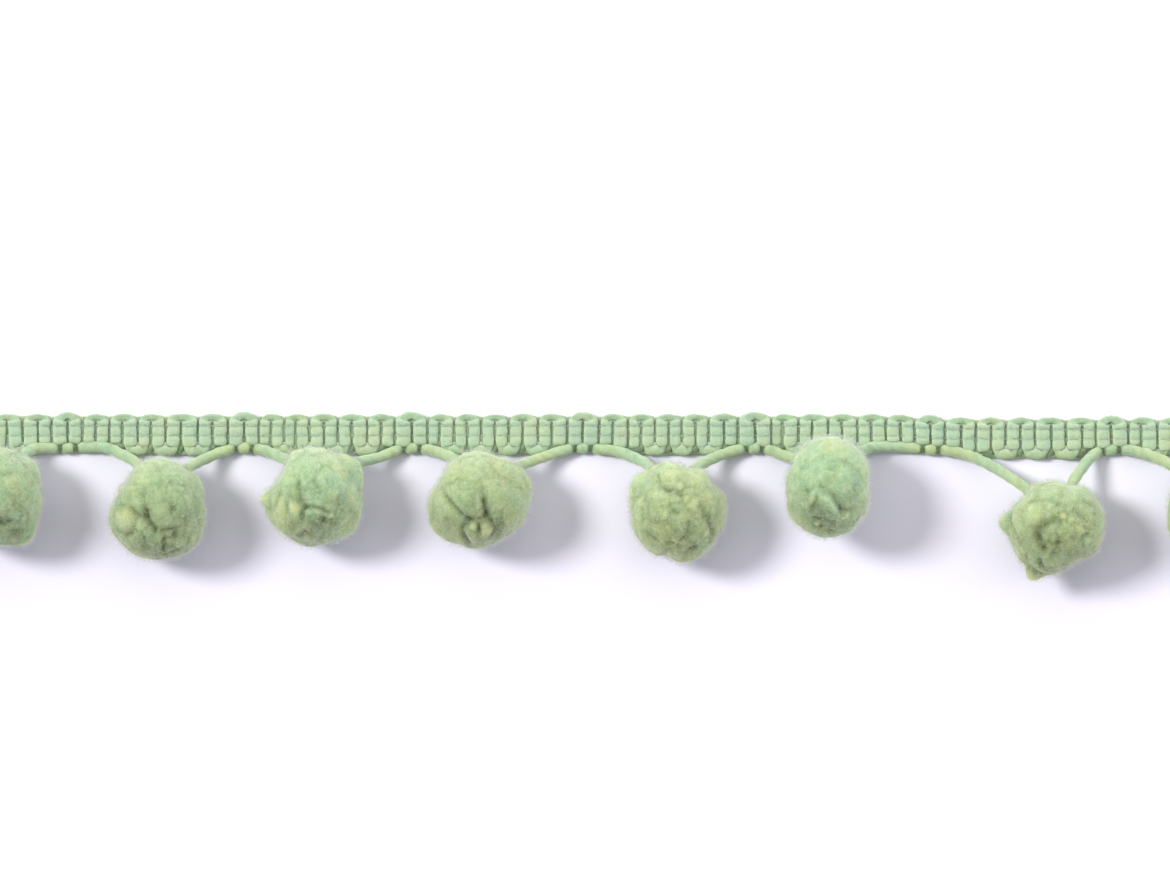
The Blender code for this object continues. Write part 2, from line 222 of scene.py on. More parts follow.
def sweep(name, paths, outline, lay_mm=None):
    """Yarns swept along paths of x, y, z and thickness, turned once for every lay, as one mesh object."""
    curve = bpy.data.curves.new(name, "CURVE")
    curve.dimensions = "3D"
    curve.twist_mode = "Z_UP"
    curve.bevel_mode = "OBJECT"
    curve.bevel_object = outline
    curve.use_fill_caps = True
    for path in paths:
        spline = curve.splines.new("POLY")
        spline.points.add(len(path) - 1)
        spline.points.foreach_set("co", np.column_stack((path[:, :3] * MM, np.ones(len(path)))).ravel())
        spline.points.foreach_set("radius", path[:, 3])
        if lay_mm:
            run = np.append(0.0, np.cumsum(np.linalg.norm(np.diff(path[:, :3], axis=0), axis=1)))
            spline.points.foreach_set("tilt", 2 * math.pi * run / lay_mm)
    source = bpy.data.objects.new(name + "_path", curve)
    bpy.context.scene.collection.objects.link(source)
    graph = bpy.context.evaluated_depsgraph_get()
    mesh = bpy.data.meshes.new_from_object(source.evaluated_get(graph))
    mesh.name = name
    bpy.data.objects.remove(source)
    piece = bpy.data.objects.new(name, mesh)
    bpy.context.scene.collection.objects.link(piece)
    mesh.shade_smooth()
    return piece


def places(piece):
    """A piece's points in millimetres."""
    flat = np.empty(3 * len(piece.data.vertices))
    piece.data.vertices.foreach_get("co", flat)
    return flat.reshape(-1, 3) / MM


def move_to(piece, points):
    """Moves a piece's points to places in millimetres."""
    piece.data.vertices.foreach_set("co", (points * MM).ravel())
    piece.data.update()


def note(piece, name, values):
    """Keeps one number for each point of a piece under a name that its material reads."""
    piece.data.attributes.new(name, "FLOAT", "POINT").data.foreach_set("value", np.clip(values, 0.0, 1.0))


def uneven(points, size_mm, offset=0.0):
    """Smooth chance values, about -1 to 1, that change over the given size."""
    return np.array([noise.noise(p) for p in (points / size_mm + offset).tolist()])


def swaying(points, sway, offset=0.0):
    """The value of a sway at each point."""
    return sway.mean + sway.swing * uneven(points, sway.size, offset)


def roughen(piece, size_mm, height_mm):
    """Moves a piece's points in and out a little, as spun yarn is never even, but not into the table."""
    points = places(piece)
    flat = np.empty(points.size)
    piece.data.vertices.foreach_get("normal", flat)
    points += flat.reshape(-1, 3) * (height_mm * uneven(points, size_mm))[:, None]
    points[:, 2] = np.maximum(points[:, 2], CLEARANCE)
    move_to(piece, points)


def dress(piece, material, slot, *nodes):
    """Gives a piece its material, its body and the solids it stands for. The slot is not used."""
    piece.data.materials.clear()
    piece.data.materials.append(material)
    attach(piece, "root")
    if nodes:
        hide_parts(*nodes)


def drawn_in(x, attach_x):
    """How near x is to one of the two cinches beside a place where the cord is caught, 0 to 1."""
    aside = np.abs(x - attach_x) - CINCH_ASIDE
    return np.exp(-((aside / CINCH_REACH) ** 2))


cord_way = flowing(CORD_ROUTE, CORD_STEPS)
cord_thickness = np.ones(len(cord_way))
for attach_x in ATTACH_X:
    drawn = CINCH_DRAW * drawn_in(cord_way[:, 0], attach_x)
    cord_thickness -= np.where(cord_way[:, 2] < CINCH_BELOW_Z, drawn, 0.0)
cord_outline = cross_section(
    "cord_outline", CORD_RADIUS, CORD_RADIUS, CORD_SIDES, lobes=CORD_PLIES, lobe_share=CORD_PLY_SHARE)
cord = sweep("cord_plies", [np.column_stack((cord_way, cord_thickness))], cord_outline, CORD_LAY)
roughen(cord, size_mm=0.9, height_mm=0.08)
roughen(cord, size_mm=0.35, height_mm=0.05)
cord_points = places(cord)
note(cord, "tone", swaying(cord_points, CORD_TONE))
# Random mottling, and painted shade at the cinches where the cord lies low under the thread.
cord_mottle_and_shade = swaying(cord_points, CORD_DEPTH)
caught = cord_points[:, 2] < CINCH_BELOW_Z + CORD_RADIUS
for attach_x in ATTACH_X:
    cord_mottle_and_shade += CINCH_SHADE * drawn_in(cord_points[:, 0], attach_x) * caught
note(cord, "depth", cord_mottle_and_shade)
# Spun acrylic with a low nap, so that its plies show.
cord_yarn = spun_yarn(
    "Spun acrylic cord", CORD_DYE_AND_SHADE, patch_mm=2.5, nap_mm=0.22, nap_height_mm=0.05, glow_mm=0.4)
dress(cord, cord_yarn, "cord_yarn", "carrier_cord")


# The header's ribs.
# A woven gimp: one soft yarn goes to and fro across the strip. It lies in upright ribs side by side,
# turned over in a thin loop at the top edge and in a plump one, which wraps the cord, at the bottom.

# The slits between the ribs, a row for each stretch between two places where the cord is caught.
SLIT_X = (
    -93.9, -92.0,
    -90.1, -88.2, -86.3, -84.4, -82.6, -80.7, -78.8, -76.9, -75.1, -73.1, -71.1, -69.3,
    -67.2, -65.3, -63.6, -61.8, -60.1, -58.1, -56.4, -54.5, -52.5, -50.3, -48.4, -46.4,
    -44.3, -42.4, -40.8, -39.1, -37.6, -35.8, -33.9, -32.1, -30.3, -28.3, -26.5, -24.7,
    -22.5, -20.5, -18.9, -17.0, -15.3, -13.5, -11.7, -9.9, -8.1, -6.1, -4.3, -2.3,
    -0.3, 1.8, 3.6, 5.6, 7.3, 9.1, 10.9, 12.6, 14.4, 16.1, 18.1, 19.9,
    22.1, 24.2, 25.7, 27.7, 29.5, 31.6, 33.4, 35.4, 37.2, 39.1, 41.0, 42.8,
    44.9, 46.8, 48.9, 50.8, 52.8, 54.7, 56.6, 58.5, 60.6, 62.5, 64.6, 66.4,
    68.4, 70.6, 72.3, 74.4, 76.3, 78.3, 80.2, 82.1, 84.1, 86.0, 87.9, 89.9,
    91.8, 93.7, 95.6,
)
# Where the middle of the header lies: x, y.
HEADER_LINE = ((-96.0, 0.0), (38.0, 0.0), (48.0, -0.45), (98.0, -0.45))
HEADER_HALF_WIDTH = 2.6
RIB_HALF_WIDTH = 0.74
RIB_HALF_HEIGHT = 0.68
RIB_SIDES = 16
RIB_SQUARENESS = 5.0
SLIT_WIDTH = 0.3
# One rib, from the middle of its top loop to the middle of its bottom loop: the share of the way
# across between the two, y, z and thickness. The low end has a free form and one under the cord,
# whose y is counted from the cord.
RIB_HIGH = (
    (0.00, 2.36, 0.84, 0.52),
    (0.26, 2.29, 0.81, 0.52),
    (0.44, 2.12, 0.75, 0.66),
    (0.50, 1.90, 0.69, 0.98),
    (0.50, 1.58, 0.70, 1.02),
    (0.50, 1.20, 0.67, 0.93),
    (0.50, 0.56, 0.70, 1.02),
    (0.50, -0.07, 0.67, 0.94),
)
RIB_LOW_FREE = (
    (0.50, -0.58, 0.70, 1.02),
    (0.50, -1.16, 0.68, 0.98),
    (0.49, -1.42, 0.63, 0.85),
    (0.53, -1.80, 0.66, 0.76),
    (0.64, -1.95, 0.68, 0.90),
    (1.00, -1.97, 0.70, 0.98),
)
RIB_LOW_TUCKED = (
    (0.50, 1.10, 0.70, 1.00),
    (0.50, 0.92, 0.62, 0.92),
    (0.50, 0.76, 0.46, 0.62),
    (0.58, 0.63, 0.36, 0.48),
    (0.72, 0.55, 0.30, 0.42),
    (1.00, 0.50, 0.27, 0.38),
)
# The top loop stands higher within this reach of a place where the cord is caught.
TOP_LOOPS_AT_CORD = ((0.0, 2.54, 0.90, 0.62), (0.28, 2.42, 0.86, 0.64))
AT_CORD_REACH = 0.2
# The cord lies on the loops where it is this near along X and this low. It starts to cover them at this
# place below the header's middle, and covers them wholly this much further up.
OVER_REACH = 0.6
OVER_BELOW_Z = 2.6
OVER_FROM_Y = -2.75
OVER_SPAN = 0.7
NO_CORD_Y = -4.0
RIB_STEPS = 3
RIB_WANDER = 0.1
RIB_WANDER_SIZE = 1.4
RIB_DYE_AND_SHADE = DyeAndShade("#A9C5AF", "#B9C9A9", "#88A27E", "#CBD9BC")
# The ribs are yellower toward the lower edge and mintier, for a way, where the cord is caught.
RIB_TONE = Sway(0.35, 0.7, 2.6)
RIB_TONE_FALL = 0.3
CAUGHT_TONE_FALL = 0.4
CAUGHT_TONE_REACH = 1.5
RIB_DEPTH = Sway(0.0, -0.15, 0.7)
# Painted shade on a yarn, or painted light where the amount is below zero: the value where it starts,
# the one where it is full, and how much.
Shade = namedtuple("Shade", "start full amount")
# Painted shade on the ribs: down into the slits, and toward the loops at both edges.
RIB_SHADE_BY_Z = Shade(1.3, 0.8, 0.8)
RIB_SHADE_UP = Shade(1.9, 2.2, 0.25)
RIB_SHADE_DOWN = Shade(-1.4, -2.4, 0.45)


def line_y(x):
    """Where the middle of the header lies at x."""
    for (x0, y0), (x1, y1) in zip(HEADER_LINE, HEADER_LINE[1:]):
        if x <= x1:
            share = (x - x0) / (x1 - x0)
            return y0 + (y1 - y0) * share * share * (3 - 2 * share)
    return HEADER_LINE[-1][1]


def across(points):
    """How far each point lies from the middle of the header, toward its top edge."""
    return points[:, 1] - np.array([line_y(x) for x in points[:, 0]])


def cord_over(x):
    """The cord's y where it lies at x, and how far it covers the header's loops there, 0 to 1."""
    near = cord_way[(np.abs(cord_way[:, 0] - x) < OVER_REACH) & (cord_way[:, 2] < OVER_BELOW_Z)]
    if not len(near):
        return NO_CORD_Y, 0.0
    y, z = near[near[:, 1].argmax(), 1:]
    over = np.clip((y - line_y(x) - OVER_FROM_Y) / OVER_SPAN, 0, 1)
    return y, float(over * np.clip(OVER_BELOW_Z - z, 0, 1))


def shaded(values, shade):
    """How much painted shade a yarn gets at each value."""
    return shade.amount * np.clip((values - shade.start) / (shade.full - shade.start), 0, 1)


def rib_fill(a, b):
    """How much wider than usual the rib between slits at a and b is."""
    return (b - a - SLIT_WIDTH) / (2 * RIB_HALF_WIDTH)


def rib(number):
    """The keys of one rib from its top loop to its bottom loop."""
    a, b = SLIT_X[number:number + 2]
    top_x, bottom_x = (b, a) if number % 2 else (a, b)
    high = list(RIB_HIGH)
    if min(abs(top_x - x) for x in ATTACH_X) < AT_CORD_REACH:
        high[:2] = TOP_LOOPS_AT_CORD
    cord_y, cover = cord_over(bottom_x)
    middle = line_y(bottom_x)
    low = []
    for free, tucked in zip(RIB_LOW_FREE, RIB_LOW_TUCKED):
        tucked = (tucked[0], cord_y - middle + tucked[1], *tucked[2:])
        low.append([f + (t - f) * cover for f, t in zip(free, tucked)])
    fill = rib_fill(a, b)
    keys = []
    for share, y, z, thickness in high + low:
        x = top_x + (bottom_x - top_x) * share
        upright = 1 - abs(2 * share - 1)
        keys.append((x, line_y(x) + y, z, thickness * (1 + (fill - 1) * upright)))
    return keys


weft = []
for number in range(len(SLIT_X) - 1):
    keys = rib(number)[::-1] if number % 2 else rib(number)
    weft += keys[1:] if weft else keys
weft = flowing(weft, RIB_STEPS)
weft[:, 0] += RIB_WANDER * uneven(weft[:, :3], RIB_WANDER_SIZE)
rib_outline = cross_section("rib_outline", RIB_HALF_WIDTH, RIB_HALF_HEIGHT, RIB_SIDES, RIB_SQUARENESS)
ribs = sweep("header_ribs", [weft], rib_outline)
roughen(ribs, size_mm=1.1, height_mm=0.08)
roughen(ribs, size_mm=0.35, height_mm=0.06)
rib_points = places(ribs)
rib_y = across(rib_points)
near_cord = np.min([np.abs(rib_points[:, 0] - x) for x in ATTACH_X], axis=0)
rib_tone = swaying(rib_points, RIB_TONE) - RIB_TONE_FALL * rib_y / HEADER_HALF_WIDTH
rib_tone -= CAUGHT_TONE_FALL * np.exp(-near_cord / CAUGHT_TONE_REACH)
note(ribs, "tone", rib_tone)
rib_mottle_and_shade = swaying(rib_points, RIB_DEPTH) + shaded(rib_points[:, 2], RIB_SHADE_BY_Z)
rib_mottle_and_shade += shaded(rib_y, RIB_SHADE_UP) + shaded(rib_y, RIB_SHADE_DOWN)
note(ribs, "depth", rib_mottle_and_shade)
# Spun acrylic with a fuller nap, a little greyer than the cord.
rib_yarn = spun_yarn(
    "Spun acrylic weft", RIB_DYE_AND_SHADE, patch_mm=3.0, nap_mm=0.2, nap_height_mm=0.12, glow_mm=0.6)
dress(ribs, rib_yarn, "header_yarn", "header")


# The header's ground weft.
# A second, flatter yarn goes to and fro behind the ribs. It fills the slits between them, so that the strip
# is closed cloth, and is painted dark as shade, because little light gets down to it.

GROUND_HALF_WIDTH = 0.62
GROUND_HALF_HEIGHT = 0.3
GROUND_SIDES = 8
GROUND_STEPS = 3
GROUND_Z = 0.7
GROUND_TOP_Y = 1.98
GROUND_BOTTOM_Y = -2.0
GROUND_UNDER_CORD = 0.75
GROUND_TURN = 0.5
# The ground gets a darker painted-shade colour than the ribs, and painted shade all over with some random
# mottling.
GROUND_DYE_AND_SHADE = RIB_DYE_AND_SHADE._replace(deep="#55684B")
GROUND_TONE = Sway(0.4, 0.4, 4.0)
GROUND_SHADE_AND_MOTTLE = Sway(0.33, -0.08, 0.8)
GROUND_SHADE_DOWN = Shade(-1.3, -1.8, 0.3)

ground_keys = []
for number, (x, next_x) in enumerate(zip(SLIT_X, SLIT_X[1:])):
    cord_y, cover = cord_over(x)
    low_y = GROUND_BOTTOM_Y + (cord_y - line_y(x) + GROUND_UNDER_CORD - GROUND_BOTTOM_Y) * cover
    ends = [low_y + GROUND_TURN, 0.0, GROUND_TOP_Y - GROUND_TURN]
    turn_y = GROUND_TOP_Y
    if number % 2:
        ends.reverse()
        turn_y = low_y
    ground_keys += [(x, line_y(x) + y, GROUND_Z, 1.0) for y in ends]
    ground_keys.append(((x + next_x) / 2, line_y(x) + turn_y, GROUND_Z, 1.0))
ground_outline = cross_section(
    "ground_outline", GROUND_HALF_WIDTH, GROUND_HALF_HEIGHT, GROUND_SIDES, RIB_SQUARENESS)
ground = sweep("header_ground", [flowing(ground_keys, GROUND_STEPS)], ground_outline)
roughen(ground, size_mm=0.4, height_mm=0.05)
ground_points = places(ground)
note(ground, "tone", swaying(ground_points, GROUND_TONE))
ground_shade_and_mottle = swaying(ground_points, GROUND_SHADE_AND_MOTTLE) + shaded(across(ground_points), GROUND_SHADE_DOWN)
note(ground, "depth", ground_shade_and_mottle)
# The same spun acrylic as the ribs, with a darker painted shade where it lies deep in the cloth.
ground_yarn = spun_yarn(
    "Spun acrylic ground weft", GROUND_DYE_AND_SHADE, patch_mm=3.0, nap_mm=0.2, nap_height_mm=0.12, glow_mm=0.6)
dress(ground, ground_yarn, "header_yarn")


# The header's warp.
# Two fine sewing-weight threads run the length of the strip over the ribs and dip into the slits: they
# draw shallow grooves across the ribs. Softer, thicker threads lie inside the loops along both edges.

# A thread's place across the strip, its heights over a rib, in a slit and above a loop, and how far the
# cord tucks it aside and down where it covers the loops.
Strand = namedtuple("Strand", "y over_z slit_z loop_z tuck_y tuck_z")
FINE_STRANDS = (
    Strand(1.20, 1.23, 0.90, 0.90, 0.0, 0.0),
    Strand(-0.07, 1.23, 0.90, 0.90, 0.0, 0.0),
)
EDGE_STRANDS = (
    Strand(2.13, 0.60, 0.60, 0.60, 0.0, 0.0),
    Strand(-1.13, 0.70, 0.60, 0.98, 0.55, -0.35),
    Strand(-2.25, 0.56, 0.56, 0.56, 1.0, -0.26),
)
FINE_RADIUS = 0.1
FINE_SIDES = 6
EDGE_RADIUS = 0.27
EDGE_SIDES = 8
STRAND_RISE = 0.27
STRAND_STEPS = 2
STRAND_WANDER = 0.12
STRAND_WANDER_SIZE = 1.6
FINE_TONE = Sway(0.3, 0.4, 4.0)
# Painted shade on the fine threads, so that they show as grooves, and more where they dip low.
FINE_GROOVE_SHADE = 0.2
FINE_SHADE_BY_Z = Shade(1.1, 0.7, 0.5)
EDGE_TONE = Sway(0.4, 0.4, 4.0)
# The edge threads get painted shade all along, darker than the ribs.
EDGE_THREAD_SHADE = 0.31
# High places of the edge threads catch the light, low ones lie in shadow.
EDGE_LIGHT_BY_Z = Shade(0.85, 1.1, -0.16)
EDGE_SHADE_DOWN = Shade(-1.9, -2.2, 0.27)


def lengthwise(strands):
    """The paths of threads along the strip: over each rib, lower in the slits and at the bottom loops."""
    paths = []
    for strand in strands:
        keys = []
        for number, (a, b) in enumerate(zip(SLIT_X, SLIT_X[1:])):
            over_z = strand.over_z + RIB_HALF_HEIGHT * (rib_fill(a, b) - 1)
            keys.append((a, line_y(a) + strand.y, strand.loop_z if number % 2 else strand.slit_z, 1.0))
            for share in (STRAND_RISE, 1 - STRAND_RISE):
                x = a + (b - a) * share
                keys.append((x, line_y(x) + strand.y, over_z, 1.0))
        path = flowing(keys[1:], STRAND_STEPS)
        path[:, 1] += STRAND_WANDER * uneven(path[:, :3], STRAND_WANDER_SIZE)
        covered = np.array([cord_over(x)[1] for x in path[:, 0]])
        path[:, 1] += strand.tuck_y * covered
        path[:, 2] += strand.tuck_z * covered
        paths.append(path)
    return paths


fine_outline = cross_section("fine_outline", FINE_RADIUS, FINE_RADIUS, FINE_SIDES)
warp = sweep("header_warp", lengthwise(FINE_STRANDS), fine_outline)
warp_points = places(warp)
note(warp, "tone", swaying(warp_points, FINE_TONE))
note(warp, "depth", FINE_GROOVE_SHADE + shaded(warp_points[:, 2], FINE_SHADE_BY_Z))
dress(warp, rib_yarn, "header_yarn")
edge_outline = cross_section("edge_outline", EDGE_RADIUS, EDGE_RADIUS, EDGE_SIDES)
edges = sweep("header_edges", lengthwise(EDGE_STRANDS), edge_outline)
roughen(edges, size_mm=0.5, height_mm=0.05)
edge_points = places(edges)
note(edges, "tone", swaying(edge_points, EDGE_TONE))
edge_light_and_shade = EDGE_THREAD_SHADE + shaded(edge_points[:, 2], EDGE_LIGHT_BY_Z)
edge_light_and_shade += shaded(across(edge_points), EDGE_SHADE_DOWN)
note(edges, "depth", edge_light_and_shade)
dress(edges, ground_yarn, "header_yarn")


# The cinches.
# On both sides of each place where the cord is caught, two and a half turns of the fine thread bind it to
# the header's edge and draw it in.

CINCH_TURNS = 2.5
CINCH_THREAD_PITCH = 0.24
CINCH_THREAD_RADIUS = 0.4
CINCH_STEPS = 14
CINCH_TONE = 0.3
# The binding thread is painted dark as shade, deep in the drawn-in cinch.
CINCH_THREAD_SHADE = 0.9

cinch_paths = []
for attach_x in ATTACH_X:
    at = cord_way[np.abs(cord_way[:, 0] - attach_x).argmin()]
    for side in (-1, 1):
        angle = np.linspace(0, 2 * math.pi * CINCH_TURNS, round(CINCH_STEPS * CINCH_TURNS))
        x = attach_x + side * CINCH_ASIDE + (angle / (2 * math.pi) - CINCH_TURNS / 2) * CINCH_THREAD_PITCH
        y = at[1] + CINCH_THREAD_RADIUS * np.cos(angle)
        z = at[2] + CINCH_THREAD_RADIUS * np.sin(angle)
        cinch_paths.append(np.column_stack((x, y, z, np.ones(len(x)))))
cinches = sweep("cord_cinches", cinch_paths, fine_outline)
cinch_count = len(cinches.data.vertices)
note(cinches, "tone", np.full(cinch_count, CINCH_TONE))
note(cinches, "depth", np.full(cinch_count, CINCH_THREAD_SHADE))
dress(cinches, cord_yarn, "header_yarn")


# The pompoms.
# Hundreds of short lengths of soft acrylic yarn, gripped at their middle by the cord and trimmed to a
# ball. Tumbling has felted their cut ends to lumps and nubs, with clefts where the ball parts, painted dark
# as shade.

Ball = namedtuple("Ball", "x y z half_x half_y half_z tone shade")
POMPOMS = (
    Ball(-77.1, -8.0, 5.9, 6.5, 6.6, 6.3, 0.25, 0.12),
    Ball(-55.4, -9.7, 5.9, 6.2, 6.9, 6.3, 0.30, 0.23),
    Ball(-35.2, -8.0, 5.9, 6.2, 6.5, 6.2, 0.30, 0.05),
    Ball(-13.7, -8.5, 5.9, 6.7, 6.4, 6.3, 0.45, 0.18),
    Ball(12.0, -9.8, 5.9, 6.3, 6.6, 6.2, 0.55, 0.12),
    Ball(31.6, -6.7, 8.2, 5.6, 6.7, 5.9, 0.15, 0.05),
    Ball(61.2, -12.1, 6.0, 6.5, 6.5, 6.4, 0.46, 0.20),
    Ball(81.9, -9.8, 5.9, 6.4, 6.6, 6.3, 0.45, 0.12),
)
# Tufts that stand proud of a ball or, with a negative height, are flats that reach from top to bottom.
Tuft = namedtuple("Tuft", "ball azimuth_deg elevation_deg height half_angle_deg")
TUFTS = [Tuft(*row) for row in (
    (0, 312, 0, 1.3, 32),
    (0, 350, 0, 0.3, 24),
    (0, 36, 0, 0.9, 28),
    (0, 20, 0, 0.4, 18),
    (1, 198, 8, 0.6, 26),
    (1, 135, 0, -0.9, 28),
    (1, 163, 0, -0.7, 20),
    (1, 262, 0, -0.4, 34),
    (1, 318, 0, 0.5, 34),
    (1, 35, 0, 0.45, 30),
    (2, 182, 5, 0.8, 14),
    (2, 158, 0, -1.2, 24),
    (2, 137, 0, -1.2, 24),
    (2, 202, 0, 0.5, 26),
    (2, 280, 0, 0.2, 20),
    (2, 318, 0, 0.9, 30),
    (2, 38, 0, 1.3, 30),
    (2, 14, 0, 0.4, 20),
    (2, 348, 0, 0.35, 22),
    (2, 262, 0, 0.4, 20),
    (3, 209, 0, 0.8, 20),
    (3, 228, 0, 0.6, 20),
    (3, 152, 0, -0.8, 38),
    (3, 308, 0, -0.5, 55),
    (3, 268, 0, 0.2, 24),
    (3, 18, 0, 0.6, 32),
    (4, 17, 0, 0.3, 20),
    (4, 37, 0, -0.6, 20),
    (4, 76, 0, -0.9, 28),
    (4, 148, 0, 0.9, 30),
    (4, 240, 0, 0.3, 16),
    (4, 257, 0, -0.4, 14),
    (4, 284, 0, 0.4, 28),
    (5, 216, 0, 0.45, 34),
    (5, 150, 0, -0.3, 16),
    (5, 0, 0, -0.35, 26),
    (6, 174, 0, 1.4, 20),
    (6, 205, 0, -0.3, 18),
    (6, 242, 0, 1.2, 17),
    (6, 138, 0, -0.6, 18),
    (6, 78, 0, -0.6, 24),
    (6, 100, 0, -0.4, 18),
    (6, 298, 0, -1.4, 48),
    (6, 351, 0, -0.4, 24),
    (7, 200, 0, 0.4, 26),
)]
